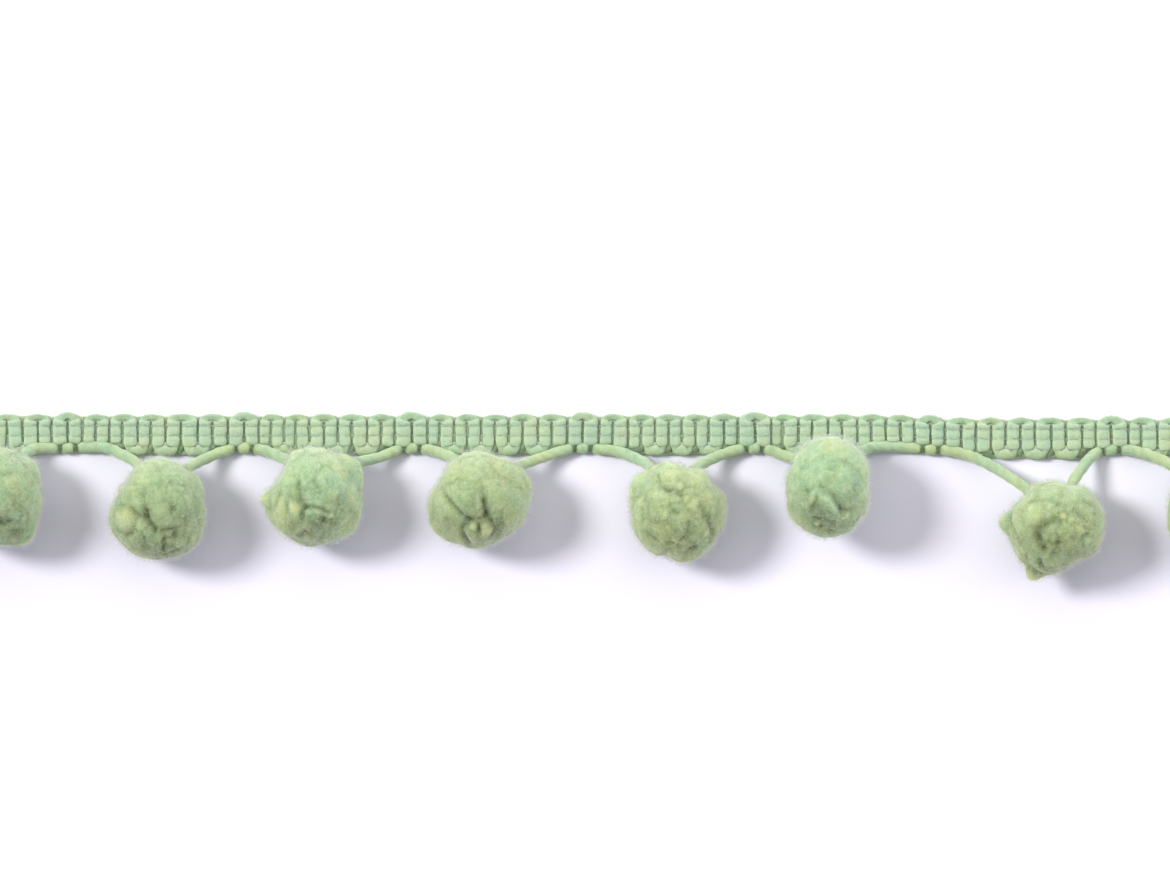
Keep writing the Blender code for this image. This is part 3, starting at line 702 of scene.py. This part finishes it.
# Clefts where a ball has parted, on its upper side: x and y of their places from its middle. One with a
# negative depth is a strand that lies on the ball.
Cleft = namedtuple("Cleft", "ball depth half_width places")
CLEFTS = [Cleft(*row) for row in (
    (0, 0.75, 0.5, ((-0.4, -2.1), (1.25, -2.96), (1.9, -3.8), (2.65, -3.4))),
    (0, 0.38, 0.4, ((2.87, -4.5), (4.7, -4.36))),
    (0, 0.3, 0.3, ((1.1, 3.1), (2.5, 3.2))),
    (0, 0.45, 0.4, ((-3.3, 1.2), (-2, -0.1), (-0.4, -2.1))),
    (1, 0.3, 0.35, ((-1.83, 2.37), (-1.61, 0.92), (-1.4, 0))),
    (1, 0.83, 0.38, ((-1.35, -0.2), (-1.25, -0.9), (-0.7, -1.9), (-0.25, -2.6))),
    (1, 0.45, 0.35, ((-3.29, 0.13), (-2.17, -0.76), (-1.3, -0.8))),
    (1, 0.7, 0.28, ((0.74, -2.66), (2.42, -2.66), (2.25, -3.45))),
    (1, 0.34, 0.35, ((2, 0.1), (2.15, -0.05))),
    (1, 0.52, 0.35, ((-4.18, -3.45), (-3.29, -3))),
    (1, 0.45, 0.35, ((-1.72, -3.56), (-1.27, -5.01))),
    (1, 0.45, 0.3, ((0.85, -3.9), (0.85, -5.68))),
    (1, 0.3, 0.35, ((3.87, -0.87), (3.87, -1.99))),
    (2, 0.6, 0.3, ((-0.93, -1.46), (0.36, -1.35), (1.98, -2))),
    (2, 0.45, 0.4, ((-2, 1.8), (-2, 0.6), (-1.7, -0.3), (-0.8, -1.35))),
    (2, 0.35, 0.35, ((0.3, 2.1), (0.7, 0.8))),
    (2, 0.68, 0.38, ((1.44, -2.75), (1.55, -3.5))),
    (2, 0.52, 0.4, ((-4.7, 0.16), (-5.3, -1.46))),
    (2, 0.45, 0.4, ((-1.25, -1.8), (-1.36, -2.86))),
    (2, 0.38, 0.35, ((-2.76, -3.6), (-2.6, -3.7))),
    (2, 0.45, 0.4, ((-1.04, -4.7), (-1.8, -5.3))),
    (2, 0.3, 0.3, ((3.4, -0.3), (3.4, -0.8))),
    (2, 0.22, 0.3, ((1.8, 2), (2.4, 1.8))),
    (2, 0.42, 1.2, ((0.7, -3.4), (-0.2, -5))),
    (2, -0.4, 0.24, ((-0.7, -2.1), (0.5, -1.95), (1.8, -2.4), (3.1, -2.5))),
    (2, -0.35, 0.35, ((-3, -0.4), (-2.7, -1.5), (-2.3, -2.5))),
    (3, 0.68, 0.32, ((-4.67, 0.69), (-3.67, -0.3), (-2.48, -1.7), (-1.38, -2.75))),
    (3, 0.65, 0.28, ((-1.38, -2.7), (-0.4, -2.5), (0.5, -2.4))),
    (3, 0.38, 0.4, ((0.31, 1.98), (0.71, -0.01))),
    (3, 0.83, 0.42, ((0.71, -0.01), (1.01, -1.4), (0.8, -2.05))),
    (3, 0.6, 0.4, ((-1.38, -2.75), (-2.28, -3.9), (-2, -4.9), (-1.1, -6.2))),
    (3, 0.52, 0.35, ((1.01, -1.8), (2.2, -3.5), (2, -4.7))),
    (3, 0.45, 0.22, ((-0.04, -2.9), (0.11, -4.3))),
    (3, 0.3, 0.4, ((-4.3, -2.5), (-4, -4.1))),
    (4, 0.5, 0.35, ((-2.7, 5.1), (-2.3, 3.6), (-1.44, 3))),
    (4, 0.55, 0.4, ((-1.5, 3), (-1, 2.8))),
    (4, 0.5, 0.4, ((0.1, 2.4), (0.4, 2.2))),
    (4, 0.46, 0.3, ((-0.4, -0.2), (-0.1, -0.4))),
    (4, 0.36, 0.3, ((-1.1, 0.9), (-1.1, 0.5))),
    (4, 0.5, 0.5, ((3.3, 0.5), (3.8, -0.6), (4.6, -2.9), (4.3, -3.7))),
    (4, 0.36, 0.3, ((2.1, 2.1), (3.1, 2))),
    (4, 0.46, 0.35, ((-3.9, -3.3), (-2.8, -4))),
    (4, 0.54, 0.35, ((-1.3, -4.3), (-0.8, -4.4))),
    (4, 0.46, 0.3, ((0.8, -3.7), (1.4, -2.9), (1.5, -1.5))),
    (4, 0.62, 0.45, ((1.5, -5.3), (2.2, -5))),
    (4, 0.36, 0.3, ((-4.8, 0.1), (-4.6, -1.2))),
    (5, 0.4, 0.4, ((-1.7, -1.6), (-2.2, -2.5), (-2.5, -3.5))),
    (5, 0.36, 0.9, ((-1.3, -2.7), (-1.2, -4.1))),
    (5, -0.3, 0.35, ((-1.3, 1.2), (-1.8, -0.1), (-2.4, -1.7), (-2.9, -2.7))),
    (5, -0.3, 0.35, ((-1.2, -1.4), (-0.1, -1.8), (0.8, -3.2))),
    (5, 0.6, 0.35, ((0.45, -1.2), (1.1, -2.3), (1.7, -3.2))),
    (5, 0.5, 0.35, ((1.5, -2.9), (2.2, -3.2), (3.4, -3))),
    (5, 0.3, 0.6, ((3.6, 0.5), (3.3, -0.9))),
    (5, 0.55, 0.35, ((-2.1, -4.5), (-1.1, -4.7), (0.7, -4.9))),
    (5, 0.55, 0.4, ((-1.2, -5.7), (0.5, -6.1))),
    (5, 0.28, 1, ((-1.3, -4.7), (0.2, -5.5))),
    (5, 0.43, 0.3, ((-3.5, -0.65), (-3, -0.7))),
    (5, 0.25, 0.4, ((-0.4, 3.1), (0.2, 2.5), (0.8, 2.9))),
    (5, 0.2, 0.5, ((-1.2, 0), (-0.2, -0.6))),
    (6, 0.62, 0.55, ((-0.4, 1.2), (-1.7, 0.6), (-2.8, -0.2), (-2.8, -1.5))),
    (6, 0.49, 0.35, ((-6.2, 1.27), (-6, 0.02), (-5.4, -1.12))),
    (6, 0.8, 0.4, ((-2.1, -2.75), (-1.9, -2.85))),
    (6, 0.5, 0.55, ((0, -2.1), (-0.5, -3.5))),
    (6, 0.78, 0.35, ((-2.34, -4.3), (-2, -5.27), (-1.2, -5.37))),
    (6, 0.59, 0.35, ((-0.7, -5.9), (0.56, -5.9))),
    (6, 0.45, 0.5, ((2.4, 2.4), (2.9, 2.1))),
    (6, 0.35, 0.4, ((3.5, 1.6), (3.9, 1.1))),
    (6, 0.35, 0.5, ((4, -0.5), (3.8, -0.9))),
    (6, 0.39, 0.3, ((-0.06, 3.6), (0, 3))),
    (6, 0.49, 0.4, ((2.3, -3.8), (2.6, -4.4))),
    (6, 0.34, 1.2, ((-2.4, -0.9), (-2, -2.6))),
    (7, 0.68, 0.4, ((-2.8, 0.7), (-1, -0.7), (0.4, -2.7))),
    (7, 0.45, 0.35, ((0.4, -2.7), (2.2, -3.3), (3.8, -2.5))),
    (7, 0.38, 0.3, ((2.4, 1.5), (3.4, -0.1))),
)]
# Nubs of felted ends on the upper side: x and y from the ball's middle, and their tone.
Nub = namedtuple("Nub", "ball x y radius height tone")
NUBS = [Nub(*row) for row in (
    (0, 3.4, -2.5, 1, 0.18, 0.2),
    (0, 2.8, -5.5, 0.8, 0.18, 0.7),
    (1, -4.4, -1.3, 2, 0.33, 1),
    (1, -2.2, -2, 0.9, 0.21, 0.4),
    (1, 1.6, 1, 0.7, 0.12, 0.3),
    (1, 0.2, -3.7, 0.8, 0.18, 0.3),
    (1, 3.1, -4.3, 1.1, 0.15, 0.6),
    (1, 4.5, -3.7, 0.9, 0.18, 0.8),
    (2, 0.7, -2.05, 0.6, 0.15, 0.5),
    (2, 2.4, -2.5, 0.6, 0.18, 0.6),
    (2, 3.9, -2.4, 0.6, 0.15, 0.6),
    (2, -4.6, -1.8, 2.4, 0, 0.9),
    (2, -2.5, -1.6, 1.1, 0.12, 0.9),
    (2, 3.8, -0.3, 0.7, 0.12, 0.2),
    (2, -0.8, -5.6, 0.7, 0.18, 0.8),
    (2, 4.2, -4.1, 2.4, 0, 0.7),
    (3, -0.75, -3.5, 0.75, 0.36, 1),
    (3, 1.05, -3.8, 1.25, 0.48, 1),
    (3, 3, -4.7, 0.6, 0.18, 1),
    (3, 0.9, -4.4, 1.1, 0.3, 1),
    (4, -3.1, 5.7, 0.8, 0.24, 1),
    (4, -0.9, 4.9, 1, 0.2, 0.9),
    (4, 0.35, 3.4, 0.8, 0.21, 0.9),
    (4, 2.1, 0.75, 0.9, 0.21, 0.9),
    (4, 0, 0.5, 0.6, 0.15, 0.3),
    (4, -1.65, 0.95, 0.6, 0.15, 0.3),
    (4, 1.15, 1.6, 0.6, 0.15, 0.6),
    (4, 2.5, -1.65, 0.5, 0.18, 0.7),
    (4, 3.7, -3, 0.6, 0.21, 1),
    (4, 2.2, -3.7, 0.7, 0.18, 0.5),
    (4, 0.7, -5.1, 0.5, 0.18, 0.7),
    (4, -3.4, -0.5, 1, 0.12, 0.2),
    (5, 2.4, -3.8, 0.7, 0.18, 0.5),
    (5, 4.9, -3.2, 0.9, 0.24, 0.4),
    (5, -1.7, -5.2, 0.6, 0.18, 0.9),
    (5, 0.8, 5.5, 2.6, 0, 0.7),
    (6, 0.7, 1.6, 0.7, 0.18, 0.9),
    (6, 1.7, 1.2, 0.7, 0.18, 0.8),
    (6, 3.9, 4, 0.9, 0.18, 0.6),
    (6, 2.95, -0.2, 0.8, 0.18, 0.8),
    (6, -1.7, -1.2, 0.8, 0.18, 0.2),
    (6, -0.6, -1.4, 0.7, 0.18, 0.2),
    (6, -3, -6.5, 1.7, 0.1, 1),
    (6, 3.9, -1.6, 0.8, 0.15, 0.7),
    (6, -3.4, 2.1, 1.8, 0.06, 0.7),
    (7, -3.2, -2.1, 1.4, 0.24, 0.8),
    (7, 1.7, 0.5, 1, 0.18, 0.4),
)]
BALL_CUTS = 55
FLAT_SQUEEZE = 0.5
# The loose fibres around each ball stand out this far, so the felt itself ends lower.
DOWN_DEPTH = 0.2
# Bunches of felted ends, on a ball of radius 1: how far they are shaken out of an even spread, how far
# domes and dark lines reach, as shares of their spacing, and how the lines stray.
BUNCH_SHAKE = 0.9
DOME_REACH = 0.75
EDGE_REACH = 0.22
STRAY = 0.11
STRAY_COARSE = 2.4
STRAY_FINE = 7.0
# Without a seed, noise_vector starts from the clock, and each run would bunch the ends in another way.
STRAY_SEED = 3
# Large bunches and the small ones in them. Chance changes their height and tone by up to these shares,
# and painted shade lies along their edges.
Bunches = namedtuple("Bunches", "count height height_chance tone_chance shade")
LUMPS = Bunches(30, 0.26, 0.5, 0.14, 0.18)
LOCKS = Bunches(260, 0.1, 0.6, 0.08, 0.15)
LOOSENESS = Sway(0.6, 0.9, 0.55)
LOOSE_LEAST = 0.15
# Toward the header a ball's felt is mintier, and lighter with painted light.
SHADE_FALL = 0.2
TONE_FALL = 0.12
NUB_ROUNDNESS = 1.5
NUB_RIM_WIDTH = 0.3
NUB_SMOOTHING = 0.6
NUB_RIM_DIP = 0.15
# Painted shade round a nub's rim, and painted light on its dome, more on yellower nubs.
NUB_RIM_SHADE = 0.1
NUB_LIGHT = 0.3
NUB_DYE = 0.7
NUB_DYE_REACH = 1.3
CLEFT_STEPS = 12
CLEFT_STEEPNESS = 1.6
CLEFT_SOFTNESS = 1.05
CLEFT_SHADE = 0.6
KNAP_COARSE = 0.55
KNAP_FINE = 0.28
KNAP_HEIGHT = 0.05
KNAP_LIGHT = 0.07
SHADE_SINK = 0.07
FLOOR_SOFTNESS = 0.3
BALL_DYE_AND_SHADE = DyeAndShade("#94B596", "#AFB987", "#626C46", "#CDDCB0")
YELLOWER_BALLS = (4, 6)


def round_skin():
    """A ball of radius 1 in even quads: a finely cut cube, swelled out."""
    bm = bmesh.new()
    bmesh.ops.create_cube(bm, size=2.0)
    bmesh.ops.subdivide_edges(bm, edges=bm.edges[:], cuts=BALL_CUTS, use_grid_fill=True)
    for vert in bm.verts:
        vert.co = Vector([math.tan(c * math.pi / 4) for c in vert.co]).normalized()
    skin = bpy.data.meshes.new("round_skin")
    bm.to_mesh(skin)
    bm.free()
    return skin


def of_ball(features, number):
    """Those of the tufts, nubs or clefts that are on one ball."""
    return [feature for feature in features if feature.ball == number]


def ball_reach(number, ways):
    """How far a pompom's ball reaches from its middle, for each direction."""
    ball = POMPOMS[number]
    reach = 1 / np.linalg.norm(ways / (ball.half_x, ball.half_y, ball.half_z), axis=1) - DOWN_DEPTH
    for tuft in of_ball(TUFTS, number):
        azimuth, elevation = math.radians(tuft.azimuth_deg), math.radians(tuft.elevation_deg)
        level = math.cos(elevation)
        axis = (level * math.cos(azimuth), level * math.sin(azimuth), math.sin(elevation))
        seen = ways * (1.0, 1.0, FLAT_SQUEEZE if tuft.height < 0 else 1.0)
        seen /= np.linalg.norm(seen, axis=1)[:, None] + 1e-9
        angle = np.degrees(np.arccos(np.clip(seen @ axis, -1, 1)))
        share = np.clip(1 - angle / tuft.half_angle_deg, 0, None)
        reach += tuft.height * share * share * (3 - 2 * share)
    return reach


def astray(number, ways):
    """Directions that wander a little from their own, so that the bunches get crooked edges.

    Each ball takes a stretch of the noise for itself, here and below, by an offset for its number.
    """
    coarse = [noise.noise_vector(p) for p in (ways * STRAY_COARSE + 7.0 * number).tolist()]
    fine = [noise.noise_vector(p) for p in (ways * STRAY_FINE + 3.0 * number).tolist()]
    strayed = ways + STRAY * (np.array(coarse) + 0.5 * np.array(fine))
    return strayed / np.linalg.norm(strayed, axis=1)[:, None]


def bunched(ways, count, chance):
    """Sorts directions into bunches of ends around the points of a shaken golden spiral.

    Gives each direction's bunch, the height of its dome and how close it is to the bunch's edge.
    """
    i = np.arange(count) + 0.5
    up = 1 - 2 * i / count
    around = math.pi * (1 + math.sqrt(5)) * i
    level = np.sqrt(1 - up * up)
    middles = np.column_stack((level * np.cos(around), level * np.sin(around), up))
    middles += chance.normal(0, BUNCH_SHAKE / math.sqrt(count), middles.shape)
    middles /= np.linalg.norm(middles, axis=1)[:, None]
    spacing = math.sqrt(4 * math.pi / count)
    closeness = ways @ middles.T
    bunch = closeness.argmax(axis=1)
    second, first = np.partition(closeness, -2, axis=1)[:, -2:].T
    near = np.arccos(np.clip(first, -1, 1))
    next_near = np.arccos(np.clip(second, -1, 1))
    dome = 1 - (near / (DOME_REACH * spacing)) ** 2
    edge = np.exp(-(((next_near - near) / (EDGE_REACH * spacing)) ** 2))
    return bunch, np.clip(dome, 0, 1), edge


def on_top(ball, x, y):
    """The place on a ball's upper side, counted from its middle, that is seen at x and y."""
    left = 1 - (x / ball.half_x) ** 2 - (y / ball.half_y) ** 2
    return (x, y, ball.half_z * math.sqrt(max(0.0, left)))


def felt(number, skin):
    """One pompom: the skin drawn out to its reach, then bunched, parted and flattened where it rests, with
    painted light and shade.
    """
    ball = POMPOMS[number]
    chance = np.random.default_rng(number)
    pompom = bpy.data.objects.new(f"pompom_{number}_yarn", skin.copy())
    bpy.context.scene.collection.objects.link(pompom)
    pompom.data.shade_smooth()
    ways = places(pompom) * MM
    surface = ways * ball_reach(number, ways)[:, None]

    strayed = astray(number, ways)
    lump, lump_dome, lump_edge = bunched(strayed, LUMPS.count, chance)
    lock, lock_dome, lock_edge = bunched(strayed, LOCKS.count, chance)
    loose = np.clip(swaying(ways, LOOSENESS, 11.0 * number), LOOSE_LEAST, 1.0)
    lump_chance = chance.uniform(-LUMPS.height_chance, LUMPS.height_chance, LUMPS.count)[lump]
    lock_chance = chance.uniform(-LOCKS.height_chance, LOCKS.height_chance, LOCKS.count)[lock]
    height = LUMPS.height * (lump_dome - 0.5 + lump_chance)
    height += LOCKS.height * loose * (lock_dome - 0.5 + lock_chance)
    # Painted light toward the header, and painted shade along the edges of the bunches.
    depth = ball.shade - SHADE_FALL * ways[:, 1]
    depth += LUMPS.shade * lump_edge * loose
    depth += LOCKS.shade * lock_edge * loose
    tone = ball.tone - TONE_FALL * ways[:, 1]
    tone += chance.uniform(-LUMPS.tone_chance, LUMPS.tone_chance, LUMPS.count)[lump]
    tone += chance.uniform(-LOCKS.tone_chance, LOCKS.tone_chance, LOCKS.count)[lock]

    for nub in of_ball(NUBS, number):
        away = np.linalg.norm(surface - on_top(ball, nub.x, nub.y), axis=1) / nub.radius
        dome = np.clip(1 - away**2, 0, 1) ** NUB_ROUNDNESS
        rim = np.exp(-(((away - 1.0) * nub.radius / NUB_RIM_WIDTH) ** 2))
        height += (nub.height - NUB_SMOOTHING * height) * dome - NUB_RIM_DIP * nub.height * rim
        depth += NUB_RIM_SHADE * rim - NUB_LIGHT * nub.tone * dome
        tone += (nub.tone - tone) * NUB_DYE * np.clip(NUB_DYE_REACH * dome, 0, 1)
    for cleft in of_ball(CLEFTS, number):
        line = flowing([on_top(ball, x, y) for x, y in cleft.places], CLEFT_STEPS)
        away = np.min([np.linalg.norm(surface - p, axis=1) for p in line], axis=0)
        parting = np.exp(-((away / (CLEFT_SOFTNESS * cleft.half_width)) ** CLEFT_STEEPNESS))
        height -= cleft.depth * parting
        # Painted shade in the cleft, or painted light on a strand that lies on the ball.
        depth += CLEFT_SHADE * cleft.depth * parting

    knap = uneven(surface, KNAP_COARSE, 5.0 * number) + 0.5 * uneven(surface, KNAP_FINE, 9.0 * number)
    height += KNAP_HEIGHT * knap - SHADE_SINK * depth
    points = surface + ways * height[:, None] + (ball.x, ball.y, ball.z)
    low = points[:, 2] < FLOOR_SOFTNESS
    points[low, 2] = FLOOR_SOFTNESS * np.exp(points[low, 2] / FLOOR_SOFTNESS - 1)
    move_to(pompom, points)
    note(pompom, "tone", tone)
    # Raised grain gets a little painted light.
    note(pompom, "depth", depth - KNAP_LIGHT * knap)
    return pompom


# Cut acrylic ends, felted. Light goes far through the loose pile, so the balls look soft.
felted_yarn = spun_yarn(
    "Felted acrylic pile", BALL_DYE_AND_SHADE, patch_mm=2.2, nap_mm=0.9, nap_height_mm=0.12, glow_mm=6.0)
noise.seed_set(STRAY_SEED)
ball_skin = round_skin()
pompoms = []
for number in range(len(POMPOMS)):
    slot = "pompom_yarn_yellow" if number in YELLOWER_BALLS else "pompom_yarn"
    pompoms.append((felt(number, ball_skin), slot))
for number, (pompom, slot) in enumerate(pompoms):
    dress(pompom, felted_yarn, slot, f"pompom_{number}")


# Loose fibre ends.
# Fine acrylic fibres, up to 1.1 mm long, that have worked out of the yarns and lean over them. They blur
# every edge with a pale down, partly painted sheen. They are 0.03 mm thick, half as much again as the real
# fibre, to show.

FIBRE_RADIUS = 0.016
FIBRE_LENGTH = 1.0
FIBRE_BEND = 0.16
FIBRE_BEND_SHARE = 0.45
FIBRE_DYE_SHEEN_AND_SHADE = DyeAndShade("#CBD0BD", "#D3D1B9", "#8C9478", "#F4F5EA")
# Fibres on each square millimetre, the limits of their length, and how far they lean, in radians.
Down = namedtuple("Down", "per_mm2 shortest longest lean")
POMPOM_DOWN = Down(14.0, 0.4, 1.1, 1.25)
CORD_DOWN = Down(4.5, 0.25, 0.6, 1.1)
HEADER_DOWN = Down(2.4, 0.22, 0.5, 1.1)


def one_fibre():
    """A bent fibre of three sides, pointed at both ends, rooted at the origin and standing along Z."""
    bm = bmesh.new()
    bmesh.ops.create_cone(
        bm, segments=3, radius1=FIBRE_RADIUS, radius2=0.0, depth=FIBRE_LENGTH * (1 - FIBRE_BEND_SHARE))
    bmesh.ops.translate(bm, verts=bm.verts, vec=(0, 0, FIBRE_LENGTH * (1 + FIBRE_BEND_SHARE) / 2))
    bmesh.ops.remove_doubles(bm, verts=bm.verts, dist=FIBRE_RADIUS / 10)
    bend = [vert for vert in bm.verts if vert.co.z < FIBRE_LENGTH / 2]
    bmesh.ops.translate(bm, verts=bend, vec=(FIBRE_BEND, 0, 0))
    root = bmesh.ops.extrude_edge_only(bm, edges=[edge for edge in bm.edges if edge.is_boundary])
    root_verts = [part for part in root["geom"] if isinstance(part, bmesh.types.BMVert)]
    bmesh.ops.pointmerge(bm, verts=root_verts, merge_co=(0, 0, 0))
    bmesh.ops.recalc_face_normals(bm, faces=bm.faces)
    bmesh.ops.scale(bm, vec=(MM, MM, MM), verts=bm.verts)
    mesh = bpy.data.meshes.new("fibre")
    bm.to_mesh(mesh)
    bm.free()
    return mesh


def grow_fuzz(name, carrier, kind, seed):
    """Fibres scattered over a piece, each leaning its own way, as one mesh that keeps the piece's tones."""
    tree = bpy.data.node_groups.new(name, "GeometryNodeTree")
    tree.interface.new_socket("Geometry", in_out="OUTPUT", socket_type="NodeSocketGeometry")
    yarn = add_node(tree, "GeometryNodeObjectInfo", {}, {"Object": carrier})
    one = add_node(tree, "GeometryNodeObjectInfo", {}, {"Object": fibre})
    roots = add_node(tree, "GeometryNodeDistributePointsOnFaces", {}, {
        "Mesh": yarn.outputs["Geometry"], "Density": kind.per_mm2 / MM**2, "Seed": seed})
    leaning = add_node(tree, "FunctionNodeRandomValue", {"data_type": "FLOAT_VECTOR"}, {
        0: (-kind.lean, -kind.lean, 0.0), 1: (kind.lean, kind.lean, 2 * math.pi), "Seed": seed + 1})
    turned = add_node(tree, "FunctionNodeRotateRotation", {"rotation_space": "LOCAL"}, {
        "Rotation": roots.outputs["Rotation"], "Rotate By": leaning.outputs["Value"]})
    sizes = add_node(tree, "FunctionNodeRandomValue", {"data_type": "FLOAT"}, {
        2: kind.shortest, 3: kind.longest, "Seed": seed + 2})
    grown = add_node(tree, "GeometryNodeInstanceOnPoints", {}, {
        "Points": roots.outputs["Points"], "Instance": one.outputs["Geometry"],
        "Rotation": turned.outputs["Rotation"], "Scale": sizes.outputs[1]})
    real = add_node(tree, "GeometryNodeRealizeInstances", {}, {"Geometry": grown.outputs["Instances"]})
    add_node(tree, "NodeGroupOutput", {}, {"Geometry": real.outputs["Geometry"]})
    fuzz = bpy.data.objects.new(name, bpy.data.meshes.new(name))
    bpy.context.scene.collection.objects.link(fuzz)
    fuzz.modifiers.new("fibres", "NODES").node_group = tree
    graph = bpy.context.evaluated_depsgraph_get()
    grown_mesh = bpy.data.meshes.new_from_object(fuzz.evaluated_get(graph))
    fuzz.modifiers.clear()
    fuzz.data = grown_mesh
    points = places(fuzz)
    points[:, 2] = np.maximum(points[:, 2], CLEARANCE)
    move_to(fuzz, points)
    return fuzz


fibre = bpy.data.objects.new("fibre", one_fibre())
bpy.context.scene.collection.objects.link(fibre)
fibre.hide_render = True
# Single fibres of the same acrylic, so thin that they look paler than the yarn; the paleness is partly
# painted sheen.
down = spun_yarn(
    "Loose acrylic fibre", FIBRE_DYE_SHEEN_AND_SHADE, patch_mm=2.2, nap_mm=0.3, nap_height_mm=0.02, glow_mm=1.0)
for number, (pompom, slot) in enumerate(pompoms):
    dress(grow_fuzz(f"pompom_{number}_fuzz", pompom, POMPOM_DOWN, seed=10 * number), down, slot)
dress(grow_fuzz("cord_fuzz", cord, CORD_DOWN, seed=101), down, "cord_yarn")
dress(grow_fuzz("header_fuzz", ribs, HEADER_DOWN, seed=111), down, "header_yarn")
for helper in (fibre, cord_outline, rib_outline, ground_outline, fine_outline, edge_outline):
    bpy.data.objects.remove(helper)


# The table, the lamps and the camera.
# The trim lies on a smooth white table under a soft lamp from the left and a broad warm window behind
# it. A white card at the right and even white walls fill the shadows. The camera looks straight down
# from far away, so every length keeps its scale.

TABLE_HALF = 3000.0
TABLE_COLOUR = "#E7E7FD"
TABLE_GRAIN_COLOUR = "#EAEAFE"
TABLE_GRAIN = 40.0
WALL_COLOUR = "#F2F0FA"
WALL_STRENGTH = 0.2
# Where a lamp's light falls to across the table, how high it comes from and how wide it is.
Lamp = namedtuple("Lamp", "name way elevation_deg width_deg strength colour")
LAMPS = (
    Lamp("soft_lamp", (0.94, -0.34), 45.0, 16.0, 2.8, "#FFFBF2"),
    Lamp("window", (-0.3, -1.0), 50.0, 100.0, 1.55, "#FFF9EA"),
    Lamp("white_card", (-1.0, -0.1), 18.0, 60.0, 1.8, "#F6F4F8"),
)
# One pixel of the photo, the photo's size and the row in which the header's middle lies.
PIXEL = 0.13
PHOTO_WIDTH, PHOTO_HEIGHT = 1170, 878
HEADER_PIXEL_Y = 435
CAMERA_HEIGHT = 2500.0
CAMERA_REACH = 10000.0
SENSOR_WIDTH = 36.0

bm = bmesh.new()
bmesh.ops.create_grid(bm, x_segments=1, y_segments=1, size=TABLE_HALF * MM)
table_mesh = bpy.data.meshes.new("table")
bm.to_mesh(table_mesh)
bm.free()
table = bpy.data.objects.new("table", table_mesh)
bpy.context.scene.collection.objects.link(table)
# Smooth matt laminate with a faint, broad change of white.
laminate = bpy.data.materials.new("White matt laminate")
laminate.use_nodes = True
table_place = add_node(laminate.node_tree, "ShaderNodeTexCoord", {}, {}).outputs["Object"]
grain = add_node(laminate.node_tree, "ShaderNodeTexNoise", {}, {
    "Vector": table_place, "Scale": 1 / (TABLE_GRAIN * MM)})
white = add_node(laminate.node_tree, "ShaderNodeMix", {"data_type": "RGBA"}, {
    MIX_FACTOR: grain.outputs["Fac"], MIX_A: linear(TABLE_COLOUR), MIX_B: linear(TABLE_GRAIN_COLOUR)})
laminate_shader = laminate.node_tree.nodes["Principled BSDF"]
laminate.node_tree.links.new(white.outputs[MIXED], laminate_shader.inputs["Base Color"])
laminate_shader.inputs["Roughness"].default_value = 0.8
laminate_shader.inputs["Specular IOR Level"].default_value = 0.2
table.data.materials.append(laminate)

for lamp in LAMPS:
    light = bpy.data.lights.new(lamp.name, "SUN")
    light.energy = lamp.strength
    light.angle = math.radians(lamp.width_deg)
    light.color = linear(lamp.colour)[:3]
    elevation = math.radians(lamp.elevation_deg)
    level = (Vector(lamp.way).normalized() * math.cos(elevation)).to_3d()
    falling = level - Vector((0, 0, math.sin(elevation)))
    lamp_object = bpy.data.objects.new(lamp.name, light)
    lamp_object.rotation_euler = falling.to_track_quat("-Z", "Y").to_euler()
    bpy.context.scene.collection.objects.link(lamp_object)

walls = bpy.data.worlds.new("white_walls")
walls.use_nodes = True
walls.node_tree.nodes["Background"].inputs["Color"].default_value = linear(WALL_COLOUR)
walls.node_tree.nodes["Background"].inputs["Strength"].default_value = WALL_STRENGTH
bpy.context.scene.world = walls
bpy.context.scene.view_settings.view_transform = "Standard"

camera_data = bpy.data.cameras.new("camera")
camera_data.sensor_fit = "HORIZONTAL"
camera_data.sensor_width = SENSOR_WIDTH
camera_data.lens = SENSOR_WIDTH * CAMERA_HEIGHT / (PHOTO_WIDTH * PIXEL)
camera_data.clip_end = CAMERA_REACH * MM
camera = bpy.data.objects.new("camera", camera_data)
camera.location = (0.0, (HEADER_PIXEL_Y - PHOTO_HEIGHT / 2) * PIXEL * MM, CAMERA_HEIGHT * MM)
bpy.context.scene.collection.objects.link(camera)
bpy.context.scene.camera = camera
